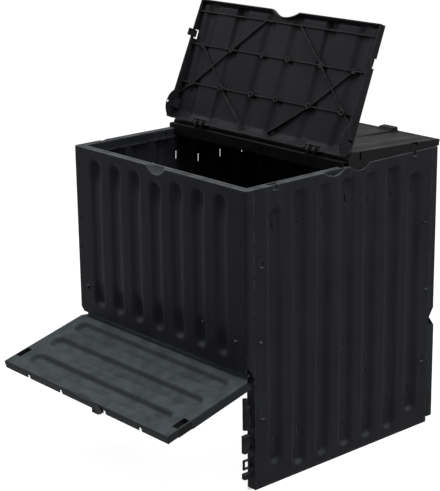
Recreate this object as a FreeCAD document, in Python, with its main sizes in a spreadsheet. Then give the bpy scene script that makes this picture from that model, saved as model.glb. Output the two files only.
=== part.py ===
import FreeCAD, Part
import os
import re
import Sketcher

# Compost bin with a two-part lid: two ribbed side panels, a front and a rear panel above
# lift-up flaps, a hinge bar across the middle of the rim and two lids hinged on it.
# Millimetres and degrees. X runs to the right along the front, Y backwards, Z up;
# the origin is the centre of the footprint on the ground.

SIZES = {
    # the whole box
    "width": 700, "depth": 700, "rim_height": 794, "wall": 3, "corner": 25,
    # vertical flutes pressed into the panels
    "flute_pitch": 85, "flute_width": 51.5, "flute_depth": 12,
    "side_flute_drop": 20, "side_flute_foot": 19,
    "end_flute_drop": 52, "end_flute_foot": 47,
    "front_flute_drop": 20, "front_middle_drop": 35, "front_flute_rise": 51,
    # air slits on the floor of the side panels' flutes
    "slit_width": 4, "slit_length": 28, "high_slit_drop": 105, "high_middle_drop": 83,
    "lone_slit": 315, "pair_slit": 215, "low_slit": 115, "low_middle_slit": 92,
    # rim round the top: flange, shallow groove on it and inner lip
    "rim_reach": 25, "rim_groove": 3, "lip_drop": 27,
    # round pockets in the side panels that take the lids' lugs
    "lug_offset": 46, "lug_rise": 35, "lug_radius": 50, "lug_depth": 4,
    "lug_hole_drop": 11, "lug_hole_radius": 3.5,
    # small windows in the side panels
    "clip_inset": 50, "clip_high": 600, "clip_low": 198, "clip_wide": 12, "clip_tall": 14,
    "snap_inset": 97, "snap_drop": 9, "snap_wide": 14, "snap_tall": 7,
    "tongue_wide": 20, "tongue_drop": 15, "tongue_thick": 3.4, "tongue_play": 5,
    # upright edges of the side panels and the hooks on them
    "flange_reach": 30, "hook_inset": 20.5, "hook_thick": 4, "hook_tall": 20,
    "hook_tip": 1, "hook_rise": 67, "hook_pitch": 75.4, "hook_count": 6,
    "slot_wide": 6, "slot_tall": 26,
    "socket_inset": 23, "socket_wide": 12, "socket_setback": 4,
    "barrel_foot": 164, "barrel_top": 248, "barrel_radius": 7, "barrel_setback": 12,
    "cup_radius": 4.5, "cup_depth": 22,
    "block_foot": 100, "block_top": 148, "peg_foot": 28, "peg_top": 43,
    "ring_foot": 56, "ring_top": 83, "ring_thick": 5, "ring_wall": 5, "ring_inset": 20.5,
    # front and rear panels
    "hatch_rise": 25.5, "notch_wide": 30, "notch_tall": 22.5, "return_rise": 12, "hem": 10,
    "grip_half": 41, "grip_drop": 22, "grip_reach": 20,
    # pivots of the flaps
    "pivot_setback": 12, "pivot_height": 294, "pivot_radius": 3, "ear_thick": 5,
    "ear_play": 1, "pin_head_radius": 5.5, "pin_head_thick": 2, "play": 0.3, "side_play": 0.5,
    # flaps
    "flap_clear": 14.4, "flap_rise": 20, "flap_corner_wide": 30, "flap_corner_tall": 31,
    "flap_return": 24.5, "flap_return_end": 205, "flap_slot_end": 242, "flap_low_return": 19,
    "flap_lip": 22, "flap_notch_wide": 12, "flap_notch_inner": 94, "flap_notch_outer": 240,
    "flap_flute_first": 50, "flap_flute_second": 137, "flap_flute_third": 222,
    "flap_flute_inset": 35, "flap_flute_third_inset": 54,
    "flap_slot_inner": 24, "flap_slot_outer": 2,
    "flap_grip_half": 45, "flap_grip_drop": 14, "flap_grip_reach": 9,
    "stud_place": 73, "stud_setback": 15, "stud_radius": 13.5, "stud_thick": 3,
    "stud_neck_radius": 4, "stud_barb_radius": 5.5, "stud_barb_thick": 2,
    "flap_open": 75.2,
    # lids
    "hinge_spread": 4, "hinge_rise": 24, "eave_rise": 18.4, "ridge_rise": 35,
    "edge_rise": 17.8, "ridge_setback": 28.7, "edge_setback": 4.6, "lid_overhang": 3,
    "lid_gap": 0.5, "rib_thick": 2.5, "rib_depth": 9, "rib_clear": 16,
    "rib_near": 110, "rib_middle": 221, "rib_edge": 34,
    "boss_inset": 54, "boss_wide": 175, "boss_inner": 50, "boss_far": 67, "boss_stub": 37,
    "boss_radius": 8, "boss_hole": 4.2, "boss_rise": 10, "boss_depth": 10,
    "wedge_wide": 50, "wedge_long": 88, "wedge_rise": 11, "wedge_inset": 3,
    "lid_grip_half": 55, "lid_grip_depth": 18,
    "lug_slot_wide": 7, "lug_slot_low": 10, "lug_slot_high": 32, "lug_slot_place": 47.5,
    "lid_open": 114,
    # hinge bar and hinge pins
    "bar_half": 15, "bar_rise": 13, "bar_drop": 16,
    "hinge_inset": 125, "knuckle_pitch": 8, "knuckle_gap": 1, "knuckle_radius": 5,
    "hinge_pin_radius": 2.5, "hinge_head_radius": 3.7, "hinge_head_thick": 1.5,
    "hinge_room": 2, "ear_rise": 30, "ear_half": 13, "hinge_notch": 14,
}

# Places counted from an edge or axis that other pieces share
PLACES = {
    # from the rim's top
    "side_flute_top": "rim_height - side_flute_drop",
    "end_flute_top": "rim_height - end_flute_drop",
    "front_flute_top": "rim_height - front_flute_drop",
    "front_middle_top": "rim_height - front_middle_drop",
    "high_slit": "rim_height - high_slit_drop",
    "high_middle_slit": "rim_height - high_middle_drop",
    "lug_height": "rim_height + lug_rise",
    "lug_hole_height": "rim_height - lug_hole_drop",
    "lug_slot_foot": "rim_height + lug_slot_low",
    "lug_slot_top": "rim_height + lug_slot_high",
    "snap_height": "rim_height - snap_drop",
    "tongue_foot": "rim_height - tongue_drop",
    "hinge_height": "rim_height + hinge_rise",
    "eave_height": "rim_height + eave_rise",
    "ridge_height": "rim_height + ridge_rise",
    "edge_height": "rim_height + edge_rise",
    "boss_foot": "rim_height + boss_rise",
    "bar_top": "rim_height + bar_rise",
    "bar_foot": "rim_height - bar_drop",
    "ear_top": "rim_height + ear_rise",
    # from the flaps' pivots
    "hatch_top": "pivot_height + hatch_rise",
    "return_foot": "pivot_height + return_rise",
    "front_flute_foot": "pivot_height + front_flute_rise",
    "hook_lowest": "pivot_height + hook_rise",
    "flap_length": "pivot_height - flap_clear",
    # from the ends and edges
    "flap_flute_half": "width/2 - flap_flute_inset",
    "flap_flute_third_half": "width/2 - flap_flute_third_inset",
    "boss_outer": "width/2 - boss_inset",
    "hinge_place": "width/2 - hinge_inset",
    "rib_far": "depth/2 - rib_edge",
}

doc = FreeCAD.newDocument("compost_bin")
sheet = doc.addObject("Spreadsheet::Sheet", "sizes")
for line, (word, value) in enumerate(SIZES.items(), start=1):
    sheet.set("A%d" % line, word)
    sheet.set("B%d" % line, str(value))
    sheet.setAlias("B%d" % line, word)
doc.recompute()

# Expressions used by more than one piece
FLUTE_R = "((flute_width^2/4 + flute_depth^2)/(2*flute_depth))"
SIDE_END = "(depth/2 - corner)"
PIVOT_Y = "(depth/2 - pivot_setback)"
EAR_R = "(pivot_setback - wall - ear_play)"
EAR_X = "(width/2 - flange_reach)"
FAR = "(2*width + 2*depth)"

# Turns that lay a sketch's or a rod's own axes along the named plane or axis
TURNS = {
    "YZ": FreeCAD.Rotation(FreeCAD.Vector(1, 1, 1), 120),
    "XZ": FreeCAD.Rotation(FreeCAD.Vector(1, 0, 0), 90),
    "XY": FreeCAD.Rotation(),
    "X": FreeCAD.Rotation(FreeCAD.Vector(0, 1, 0), 90),
    "Y": FreeCAD.Rotation(FreeCAD.Vector(1, 0, 0), -90),
    "Z": FreeCAD.Rotation(),
}
ALONG = {"YZ": (1, 0, 0), "XZ": (0, 1, 0), "XY": (0, 0, 1)}


def bound(text):
    """Turn the plain words of an expression into references to the sheet's cells."""
    def cell(found):
        word = found[0]
        if word in PLACES:
            return "(%s)" % bound(PLACES[word])
        return "sizes." + word if word in SIZES else word

    return re.sub(r"[a-z_]+", cell, text)


def bind(item, **links):
    """Bind properties of an object to expressions in the sheet's words."""
    for name, text in links.items():
        item.setExpression(name, bound(text))


def put(item, x, y, z, turn=None):
    """Turn an object, then bind its place."""
    item.Placement = FreeCAD.Placement(FreeCAD.Vector(0, 0, 0), turn or FreeCAD.Rotation())
    for letter, text in zip("xyz", (x, y, z)):
        item.setExpression("Placement.Base." + letter, bound(text))


def block(x0, x1, y0, y1, z0, z1):
    """Box between two values on each axis."""
    item = doc.addObject("Part::Box", "block")
    bind(item, Length="(%s) - (%s)" % (x1, x0), Width="(%s) - (%s)" % (y1, y0),
         Height="(%s) - (%s)" % (z1, z0))
    put(item, x0, y0, z0)
    return item


def rod(axis, x, y, z, length, radius):
    """Cylinder that starts at a point and runs along +X, +Y or +Z."""
    item = doc.addObject("Part::Cylinder", "rod")
    bind(item, Height=length, Radius=radius)
    put(item, x, y, z, TURNS[axis])
    return item


def ball(x, y, z, radius):
    item = doc.addObject("Part::Sphere", "ball")
    bind(item, Radius=radius)
    put(item, x, y, z)
    return item


def prism(plane, start, thick, outline):
    """Pad a sketched outline from start to start + thick along the plane's axis."""
    sketch = doc.addObject("Sketcher::SketchObject", "outline")
    count = len(outline)
    turn = FreeCAD.Rotation(FreeCAD.Vector(0, 0, 1), 360 / count)
    corners = [FreeCAD.Vector(10, 0, 0)]
    while len(corners) < count:
        corners.append(turn.multVec(corners[-1]))
    for i in range(count):
        sketch.addGeometry(Part.LineSegment(corners[i], corners[(i + 1) % count]), False)
    for i in range(count):
        sketch.addConstraint(Sketcher.Constraint("Coincident", i, 2, (i + 1) % count, 1))
    for i, point in enumerate(outline):
        for kind, text in zip(("DistanceX", "DistanceY"), point):
            rule = sketch.addConstraint(Sketcher.Constraint(kind, -1, 1, i, 1, 1.0))
            sketch.setExpression("Constraints[%d]" % rule, bound(text))
    x, y, z = [start if part else "0" for part in ALONG[plane]]
    put(sketch, x, y, z, TURNS[plane])
    pad = doc.addObject("Part::Extrusion", "pad")
    pad.Base = sketch
    pad.DirMode = "Custom"
    pad.Dir = FreeCAD.Vector(*ALONG[plane])
    pad.Solid = True
    bind(pad, LengthFwd=thick)
    return pad


def capsule(axis, x, y, z, length, radius):
    """Round-ended bar; length runs between the centres of its two ends."""
    reach = [length if letter == axis else "0" for letter in "XYZ"]
    far = ["(%s) + (%s)" % pair for pair in zip((x, y, z), reach)]
    return [rod(axis, x, y, z, length, radius), ball(x, y, z, radius), ball(*far, radius)]


def mirror_box(x0, x1, y0, y1, z0, z1, axis):
    """The same box on the other side of the middle."""
    if axis == "X":
        x0, x1 = "-(%s)" % x1, "-(%s)" % x0
    else:
        y0, y1 = "-(%s)" % y1, "-(%s)" % y0
    return block(x0, x1, y0, y1, z0, z1)


def both_blocks(axis, *limits):
    """A box and its mirror image across the middle."""
    return [block(*limits), mirror_box(*limits, axis)]


def join(items):
    if len(items) == 1:
        return items[0]
    union = doc.addObject("Part::MultiFuse", "union")
    union.Shapes = items
    union.Refine = False
    return union


def carve(solids, hollows):
    """Fuse the solids and take the hollows out of them."""
    result = doc.addObject("Part::Cut", "carved")
    result.Base = join(solids)
    result.Tool = join(hollows)
    result.Refine = False
    return result


def part(label, shape, x, y, z, axis, angle):
    """Named sub-part: a shape at its own place, turned about a direction."""
    item = doc.addObject("Part::Compound", label)
    item.Label = label
    item.Links = [shape]
    put(item, x, y, z, FreeCAD.Rotation(FreeCAD.Vector(*axis), 10))
    item.setExpression("Placement.Rotation.Angle", bound(angle))
    return item


def scoop(half, drop, reach):
    """Ball that leaves a half-round hollow of this half width, depth and reach.

    Returns how far the ball's centre stands above the edge and outside the face,
    and its radius.
    """
    ring = "((%s)^2 + (%s)^2)/(2*(%s))" % (half, drop, drop)
    out = "((%s)^2 - (%s)^2)/(2*(%s))" % (half, reach, reach)
    return ("(%s - (%s))" % (ring, drop), "(%s)" % out,
            "sqrt((%s)^2 + (%s)^2)" % (ring, out))


def hook_levels():
    return ["(hook_lowest + %d*hook_pitch)" % k for k in range(SIZES["hook_count"])]


def side_panel():
    """Moulded side wall, drawn as the right one."""
    skin = "width/2 - wall"
    flange_top = "rim_height - rim_groove - wall"
    flute_x = "width/2 + %s - flute_depth" % FLUTE_R
    solids = [block(skin, "width/2", "-" + SIDE_END, SIDE_END, "0", "rim_height")]
    hollows = [block("width/2", FAR, "-" + FAR, FAR, "-" + FAR, FAR),
               block("0", FAR, "-" + FAR, FAR, "rim_height", FAR)]
    for k in range(-3, 4):
        foot, top = ("end_flute_foot", "end_flute_top") if abs(k) == 3 else (
            "side_flute_foot", "side_flute_top")
        run = (flute_x, "%d*flute_pitch" % k, foot + " + flute_width/2",
               "%s - %s - flute_width" % (top, foot))
        solids += capsule("Z", *run, FLUTE_R + " + wall")
        hollows += capsule("Z", *run, FLUTE_R)

    # rim flange, inner lip and the round pockets for the lids' lugs
    solids.append(block("width/2 - rim_reach", skin, "-" + SIDE_END, SIDE_END, flange_top,
                        "rim_height - rim_groove"))
    solids.append(block("width/2 - rim_reach", "width/2 - rim_reach + wall", "-" + SIDE_END,
                        SIDE_END, "rim_height - lip_drop", "rim_height"))
    for side in ("-lug_offset", "lug_offset"):
        solids.append(rod("X", "width/2 - lug_depth - wall", side, "lug_height", "lug_depth",
                          "lug_radius + play + wall"))
        hollows.append(rod("X", "width/2 - lug_depth", side, "lug_height", "lug_depth",
                           "lug_radius + play"))
        hollows.append(rod("X", "width/2 - rim_reach - wall", side, "lug_hole_height",
                           "rim_reach + wall", "lug_hole_radius"))

    # upright flanges along the front and rear edges, cleared where a flap's top turns
    solids += both_blocks("Y", EAR_X, skin, SIDE_END + " - wall", SIDE_END, "0", flange_top)
    hollows += both_blocks("Y", EAR_X + " - wall", EAR_X + " + flap_corner_wide/3",
                           SIDE_END + " - 2*wall", SIDE_END + " + wall",
                           "pivot_height + " + EAR_R,
                           "pivot_height + flap_rise + ear_play + wall")

    # air slits
    slits = [(k, "high_slit") for k in (-3, -2, -1, 1, 2, 3)]
    slits += [(k, "low_slit") for k in (-3, -2, -1, 1, 2, 3)]
    slits += [(-1, "pair_slit"), (1, "pair_slit")]
    slits += [(0, "high_middle_slit"), (0, "lone_slit"), (0, "low_middle_slit")]
    for k, level in slits:
        hollows.append(block("width/2 - flute_depth - 2*wall", "width/2 - flute_depth + wall",
                             "%d*flute_pitch - slit_width/2" % k,
                             "%d*flute_pitch + slit_width/2" % k,
                             level + " - slit_length/2", level + " + slit_length/2"))

    # clip windows, snap windows and the openings in the flange for the lids' tongues
    for inset, wide, level, tall in (("clip_inset", "clip_wide", "clip_high", "clip_tall"),
                                     ("clip_inset", "clip_wide", "clip_low", "clip_tall"),
                                     ("snap_inset", "snap_wide", "snap_height", "snap_tall")):
        hollows += both_blocks("Y", skin + " - wall", "width/2 + wall",
                               "depth/2 - %s - %s/2" % (inset, wide),
                               "depth/2 - %s + %s/2" % (inset, wide),
                               "%s - %s/2" % (level, tall), "%s + %s/2" % (level, tall))
    hollows += both_blocks("Y", skin + " - play - tongue_thick - 2*wall", skin,
                           "depth/2 - snap_inset - tongue_wide/2 - tongue_play",
                           "depth/2 - snap_inset + tongue_wide/2 + tongue_play",
                           flange_top + " - wall", "rim_height")

    # hooks that pass through the front and rear panels' slots
    for level in hook_levels():
        solids += both_blocks("Y", "width/2 - hook_inset - hook_thick/2",
                              "width/2 - hook_inset + hook_thick/2", SIDE_END,
                              "depth/2 - hook_tip", level + " - hook_tall/2",
                              level + " + hook_tall/2")

    # lower sockets: block, peg, cupped barrel on its web, and ring
    for foot, top in (("block_foot", "block_top"), ("peg_foot", "peg_top")):
        solids += both_blocks("Y", "width/2 - socket_inset - socket_wide/2",
                              "width/2 - socket_inset + socket_wide/2", SIDE_END,
                              "depth/2 - socket_setback", foot, top)
    solids += both_blocks("Y", "width/2 - socket_inset - hook_thick/2",
                          "width/2 - socket_inset + hook_thick/2", SIDE_END,
                          "depth/2 - barrel_setback", "barrel_foot", "barrel_top - cup_depth")
    for sign in ("-", ""):
        seat = ("width/2 - socket_inset", sign + "(depth/2 - barrel_setback)")
        solids.append(rod("Z", *seat, "barrel_foot", "barrel_top - barrel_foot",
                          "barrel_radius"))
        hollows.append(rod("Z", *seat, "barrel_top - cup_depth", "cup_depth + wall",
                           "cup_radius"))
    solids += both_blocks("Y", "width/2 - ring_inset - ring_thick/2",
                          "width/2 - ring_inset + ring_thick/2", SIDE_END,
                          "depth/2 - hook_tip", "ring_foot", "ring_top")
    hollows += both_blocks("Y", "width/2 - ring_inset - ring_thick",
                           "width/2 - ring_inset + ring_thick", SIDE_END + " + ring_wall",
                           "depth/2 - hook_tip - ring_wall", "ring_foot + ring_wall",
                           "ring_top - ring_wall")

    # ears that carry the flaps' pins
    solids += both_blocks("Y", EAR_X, EAR_X + " + ear_thick", SIDE_END, PIVOT_Y,
                          "pivot_height - " + EAR_R, "pivot_height + " + EAR_R)
    for sign in ("-", ""):
        solids.append(rod("X", EAR_X, sign + PIVOT_Y, "pivot_height", "ear_thick", EAR_R))
        hollows.append(rod("X", EAR_X + " - wall", sign + PIVOT_Y, "pivot_height",
                           "ear_thick + 2*wall", "pivot_radius"))
    return carve(solids, hollows)


def end_panel():
    """Upper wall above a flap, wrapped round both corners; drawn as the front one."""
    face = "-depth/2"
    edge = "(width/2 - notch_wide)"
    notch_top = "hatch_top + notch_tall"
    solids = [prism("XZ", face, "wall",
                    [("-width/2", notch_top), ("-" + edge, "hatch_top"), (edge, "hatch_top"),
                     ("width/2", notch_top), ("width/2", "rim_height"),
                     ("-width/2", "rim_height")])]
    hollows = [block("-" + FAR, FAR, "-" + FAR, face, "-" + FAR, FAR),
               block("-" + FAR, FAR, "-" + FAR, FAR, "rim_height", FAR)]
    for k in range(-3, 4):
        top = "front_flute_top" if k else "front_middle_top"
        run = ("%d*flute_pitch" % k, "-(depth/2 + %s - flute_depth)" % FLUTE_R,
               "front_flute_foot + flute_width/2",
               "%s - front_flute_foot - flute_width" % top)
        solids += capsule("Z", *run, FLUTE_R + " + wall")
        hollows += capsule("Z", *run, FLUTE_R)

    # rim flange, inner lip and thumb grip
    solids.append(block("-width/2", "width/2", face, "-" + SIDE_END,
                        "rim_height - rim_groove - wall", "rim_height - rim_groove"))
    solids.append(block("-width/2", "width/2", "-%s - wall" % SIDE_END, "-" + SIDE_END,
                        "rim_height - lip_drop", "rim_height"))
    up, out, radius = scoop("grip_half", "grip_drop", "grip_reach")
    grip = ("0", "-depth/2 - " + out, "rim_height + " + up)
    solids.append(ball(*grip, radius + " + wall"))
    hollows.append(ball(*grip, radius))

    # corner returns, bottom hem and slots for the side panels' hooks
    wrap = [("-depth/2", notch_top), ("-" + SIDE_END, "return_foot"),
            ("-" + SIDE_END, "rim_height"), ("-depth/2", "rim_height")]
    solids.append(prism("YZ", "-width/2", "wall", wrap))
    solids.append(prism("YZ", "width/2 - wall", "wall", wrap))
    solids.append(block("-" + edge, edge, face, "-depth/2 + wall + hem", "hatch_top",
                        "hatch_top + wall"))
    for level in hook_levels():
        hollows += both_blocks("X", "width/2 - hook_inset - slot_wide/2",
                               "width/2 - hook_inset + slot_wide/2", "-depth/2 - wall",
                               "-depth/2 + 2*wall", level + " - slot_tall/2",
                               level + " + slot_tall/2")
    return carve(solids, hollows)


def flap():
    """Lift-up flap, drawn hanging shut with its pivot axis at the origin."""
    face = "-pivot_setback"
    corner_x = "(width/2 - flap_corner_wide)"
    corner_z = "(flap_rise - flap_corner_tall)"
    solids = [prism("XZ", face, "wall",
                    [("-width/2", "-flap_length"), ("width/2", "-flap_length"),
                     ("width/2", corner_z), (corner_x, "flap_rise"),
                     ("-" + corner_x, "flap_rise"), ("-width/2", corner_z)])]
    hollows = [block("-" + FAR, FAR, "-" + FAR, face, "-" + FAR, FAR),
               block("-" + FAR, FAR, "-" + FAR, FAR, "-" + FAR, "-flap_length")]
    for down, half in (("flap_flute_first", "flap_flute_half"),
                       ("flap_flute_second", "flap_flute_half"),
                       ("flap_flute_third", "flap_flute_third_half")):
        run = ("-(%s - flute_width/2)" % half, "-pivot_setback - %s + flute_depth" % FLUTE_R,
               "-" + down, "2*%s - flute_width" % half)
        solids += capsule("X", *run, FLUTE_R + " + wall")
        hollows += capsule("X", *run, FLUTE_R)

    # free-edge lip with its notches and thumb grip
    solids.append(block("-width/2", "width/2", face, "-pivot_setback + flap_lip",
                        "-flap_length", "-flap_length + wall"))
    for middle in ("flap_notch_inner", "flap_notch_outer"):
        hollows += both_blocks("X", middle + " - flap_notch_wide/2",
                               middle + " + flap_notch_wide/2", "-pivot_setback + 2*wall",
                               "depth/8", "-flap_length - wall", "-flap_length + 2*wall")
    up, out, radius = scoop("flap_grip_half", "flap_grip_drop", "flap_grip_reach")
    grip = ("0", "-pivot_setback - " + out, "-flap_length - " + up)
    solids.append(ball(*grip, radius + " + wall"))
    hollows.append(ball(*grip, radius))

    # end returns, with the corner slots that the side panels' rings pass through
    long_wrap = [(face, corner_z), ("flap_return - pivot_setback", "-ear_play"),
                 ("flap_return - pivot_setback", "-flap_return_end"),
                 (face, "-flap_return_end")]
    for start in ("-width/2", "width/2 - wall"):
        solids.append(prism("YZ", start, "wall", long_wrap))
    solids += both_blocks("X", "width/2 - wall", "width/2", face,
                          "flap_low_return - pivot_setback", "-flap_length", "-flap_slot_end")
    hollows += both_blocks("X", "width/2 - flap_slot_inner", "width/2 - flap_slot_outer",
                           "-pivot_setback - wall", "-pivot_setback + 2*wall",
                           "-flap_slot_end", "-flap_return_end")

    # lugs that turn on the pins, and the hole for the stud
    lug = EAR_X + " + ear_thick + side_play"
    solids += both_blocks("X", lug, lug + " + ear_thick", face, "0", "-" + EAR_R, EAR_R)
    for start in (lug, "-(%s) - ear_thick" % lug):
        solids.append(rod("X", start, "0", "0", "ear_thick", EAR_R))
        hollows.append(rod("X", start + " - wall/2", "0", "0", "ear_thick + wall",
                           "pivot_radius + play"))
    hollows.append(rod("Z", "stud_place", "stud_setback - pivot_setback",
                       "-flap_length - wall", "3*wall", "stud_neck_radius"))
    return carve(solids, hollows)


def flap_stud():
    """Round stud under the flap's free edge: disc, neck through the lip and barb."""
    seat = ("stud_place", "stud_setback - pivot_setback")
    return join([rod("Z", *seat, "-flap_length - stud_thick", "stud_thick", "stud_radius"),
                 rod("Z", *seat, "-flap_length", "wall", "stud_neck_radius"),
                 rod("Z", *seat, "-flap_length + wall", "stud_barb_thick",
                     "stud_barb_radius")])


def flap_pin():
    """Pin fixed in a side panel's ear; its head bears on the ear's inner face."""
    return join([rod("X", EAR_X, "0", "0", "2*ear_thick + 2*side_play", "pivot_radius"),
                 rod("X", EAR_X + " - pin_head_thick", "0", "0", "pin_head_thick",
                     "pin_head_radius")])


# Heights and distances of a shut lid, seen from its hinge axis
FREE = "(hinge_spread - depth/2 - lid_overhang)"
RIDGE = "(hinge_spread - ridge_setback)"
EDGE = "(hinge_spread - edge_setback)"
EAVE_Z = "(eave_height - hinge_height)"
RIDGE_Z = "(ridge_height - hinge_height)"
EDGE_Z = "(edge_height - hinge_height)"
SKIRT_Z = "(rim_height + lid_gap - hinge_height)"
KNUCKLE = "(knuckle_pitch - knuckle_gap)"


def roof_height(y):
    """Height of the lid's top between the free edge and the ridge."""
    return "(%s + (%s - %s)*((%s) - %s)/(%s - %s))" % (
        EAVE_Z, RIDGE_Z, EAVE_Z, y, FREE, RIDGE, FREE)


def slanting_ribs(x0, y0, x1, y1):
    """Rib between two points and its mirror image, padded through the roof."""
    outline = [(x0 + " - rib_thick*0.7", y0), (x0 + " + rib_thick*0.7", y0),
               (x1 + " + rib_thick*0.7", y1), (x1 + " - rib_thick*0.7", y1)]
    other = [("-(%s)" % u, v) for u, v in outline]
    return [prism("XY", "rim_height - hinge_height", "ridge_height - rim_height", shape)
            for shape in (outline, other)]


def lid():
    """Half of the roof, drawn shut with its hinge axis at the origin."""
    below = "(rim_height - hinge_height)"
    tall = "(ridge_height - rim_height)"
    deep = " - wall - rib_depth"

    # ribs under the roof, cut off parallel to it
    ribs = []
    for level in ("rib_near", "rib_middle", "rib_far"):
        ribs.append(block("-(width/2 - wall)", "width/2 - wall", "-%s - rib_thick/2" % level,
                          "-%s + rib_thick/2" % level, below, RIDGE_Z))
    for ends in (("boss_outer", "-rib_middle", "boss_wide", "-rib_near"),
                 ("boss_wide", "-rib_near", "boss_inner", "-rib_clear"),
                 ("boss_outer", "-rib_near", "boss_wide", "-rib_middle"),
                 ("boss_wide", "-rib_middle", "boss_far", "-rib_far"),
                 ("boss_outer", "-rib_near", "(width/2 - wall)", "boss_stub - rib_near")):
        ribs += slanting_ribs(*ends)
    under = prism("YZ", "-" + FAR, "2*" + FAR,
                  [(FREE + " - wall", EAVE_Z + deep), (RIDGE, RIDGE_Z + deep),
                   ("wall", EDGE_Z + deep), ("wall", below + " - wall"),
                   (FREE + " - wall", below + " - wall")])
    grille = carve(ribs, [under])

    solids = [grille, prism("YZ", "-width/2", "width",
                            [(FREE, EAVE_Z), (RIDGE, RIDGE_Z), (EDGE, EDGE_Z),
                             (EDGE, EDGE_Z + " - wall*1.25"), (RIDGE, RIDGE_Z + " - wall"),
                             (FREE, EAVE_Z + " - wall")])]
    hollows = []

    # tube bosses where the ribs cross
    foot = "boss_foot - hinge_height"
    for x in ("boss_outer", "boss_wide", "boss_inner", "-boss_outer", "-boss_wide",
              "-boss_inner"):
        for y in ("-rib_near", "-rib_middle"):
            solids.append(rod("Z", x, y, foot, "ridge_height - boss_foot", "boss_radius"))
            hollows.append(rod("Z", x, y, foot + " - wall", "boss_depth + wall", "boss_hole"))

    # skirts, lugs with their holes and slots
    lug_y = "hinge_spread - lug_offset"
    slot_y = "hinge_spread - lug_slot_place"
    for start, lug_start in (("-width/2", "-width/2"),
                             ("width/2 - wall", "width/2 - lug_depth + play")):
        solids.append(prism("YZ", start, "wall",
                            [(FREE, SKIRT_Z), (EDGE, SKIRT_Z), (EDGE, EDGE_Z),
                             (RIDGE, RIDGE_Z), (FREE, EAVE_Z)]))
        solids.append(rod("X", lug_start, lug_y, "lug_height - hinge_height",
                          "lug_depth - play", "lug_radius"))
        hollows.append(rod("X", start + " - wall", lug_y, "lug_hole_height - hinge_height",
                           "3*wall", "lug_hole_radius"))
        hollows.append(block(start + " - wall", start + " + 2*wall",
                             slot_y + " - lug_slot_wide/2", slot_y + " + lug_slot_wide/2",
                             "lug_slot_foot - hinge_height", "lug_slot_top - hinge_height"))
    solids.append(block("-width/2", "width/2", FREE, FREE + " + wall", SKIRT_Z, EAVE_Z))

    # half-round grip in the free edge with its own wall
    grip_r = "((lid_grip_half^2 + lid_grip_depth^2)/(2*lid_grip_depth))"
    grip_y = "%s - %s + lid_grip_depth" % (FREE, grip_r)
    solids.append(rod("Z", "0", grip_y, SKIRT_Z, tall, grip_r + " + wall"))
    hollows.append(rod("Z", "0", grip_y, SKIRT_Z + " - wall", "2*" + tall, grip_r))

    # everything outside the roof's own outline
    hollows.append(block("-" + FAR, FAR, "-" + FAR, FREE, "-" + FAR, FAR))
    hollows.append(block("-" + FAR, FAR, EDGE, FAR, "-" + FAR, FAR))
    hollows.append(prism("YZ", "-" + FAR, "2*" + FAR,
                         [(FREE + " - wall", EAVE_Z), (FREE, EAVE_Z), (RIDGE, RIDGE_Z),
                          (EDGE, EDGE_Z), (EDGE + " + wall", EDGE_Z),
                          (EDGE + " + wall", "3*lug_radius"),
                          (FREE + " - wall", "3*lug_radius")]))
    roof = carve(solids, hollows)

    # hollow wedges on the top near the free edge
    front = FREE + " + wedge_inset"
    back = FREE + " + wedge_long"
    peak = EAVE_Z + " + wedge_rise"
    rise = [(front, roof_height(front) + " - wall/2"), (back, roof_height(back) + " - wall/2"),
            (back, roof_height(back)), (front + " + wall", peak), (front, peak + " - wall")]
    hollow = [(front + " + wall", EAVE_Z + deep), (back + " - 3*wall", EAVE_Z + deep),
              (back + " - 3*wall", roof_height(back) + " - wall"),
              (front + " + 2*wall", peak + " - wall"), (front + " + wall", peak + " - 2*wall")]
    solids = [roof]
    hollows = []
    for side in ("-boss_wide", "boss_wide"):
        solids.append(prism("YZ", side + " - wedge_wide/2", "wedge_wide", rise))
        hollows.append(prism("YZ", side + " - wedge_wide/2 + wall", "wedge_wide - 2*wall",
                             hollow))

    # tongues that dip into the side panels' rims
    tongue_y = "(hinge_spread - depth/2 + snap_inset)"
    inner = "(width/2 - wall - play - tongue_thick)"
    ends = (tongue_y + " - tongue_wide/2", tongue_y + " + tongue_wide/2")
    solids += both_blocks("X", inner, inner + " + tongue_thick", *ends,
                          "tongue_foot - hinge_height", EAVE_Z + " - wall/2")
    solids += both_blocks("X", inner, "width/2 - wall/2", *ends, SKIRT_Z,
                          EAVE_Z + " - wall/2")

    # the roof is cleared round each hinge
    clear = "(3*knuckle_pitch + hinge_head_thick + hinge_room)"
    for centre in ("-hinge_place", "hinge_place"):
        hollows.append(block("%s - %s" % (centre, clear), "%s + %s" % (centre, clear),
                             "-hinge_notch", "wall", below, "2*" + tall))
    cleared = carve(solids, hollows)

    # knuckles on two arms at each hinge
    solids = [cleared]
    bores = []
    for centre in ("-hinge_place", "hinge_place"):
        for step in ("-2.5*knuckle_pitch", "0.5*knuckle_pitch"):
            start = "%s + %s - %s/2" % (centre, step, KNUCKLE)
            solids.append(prism("YZ", start, KNUCKLE,
                                [("-0.4*knuckle_radius", "-1.1*knuckle_radius"),
                                 ("-hinge_notch - wall", "hinge_notch/4 - wall/2"),
                                 ("-hinge_notch - wall/2", "hinge_notch/4 + wall/2"),
                                 ("-0.6*knuckle_radius", "0.8*knuckle_radius"),
                                 ("0.6*knuckle_radius", "-0.8*knuckle_radius")]))
            solids.append(rod("X", start, "0", "0", KNUCKLE, "knuckle_radius"))
            bores.append(rod("X", start + " - knuckle_gap/2", "0", "0", "knuckle_pitch",
                             "hinge_pin_radius + play"))
    return carve(solids, bores)


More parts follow.
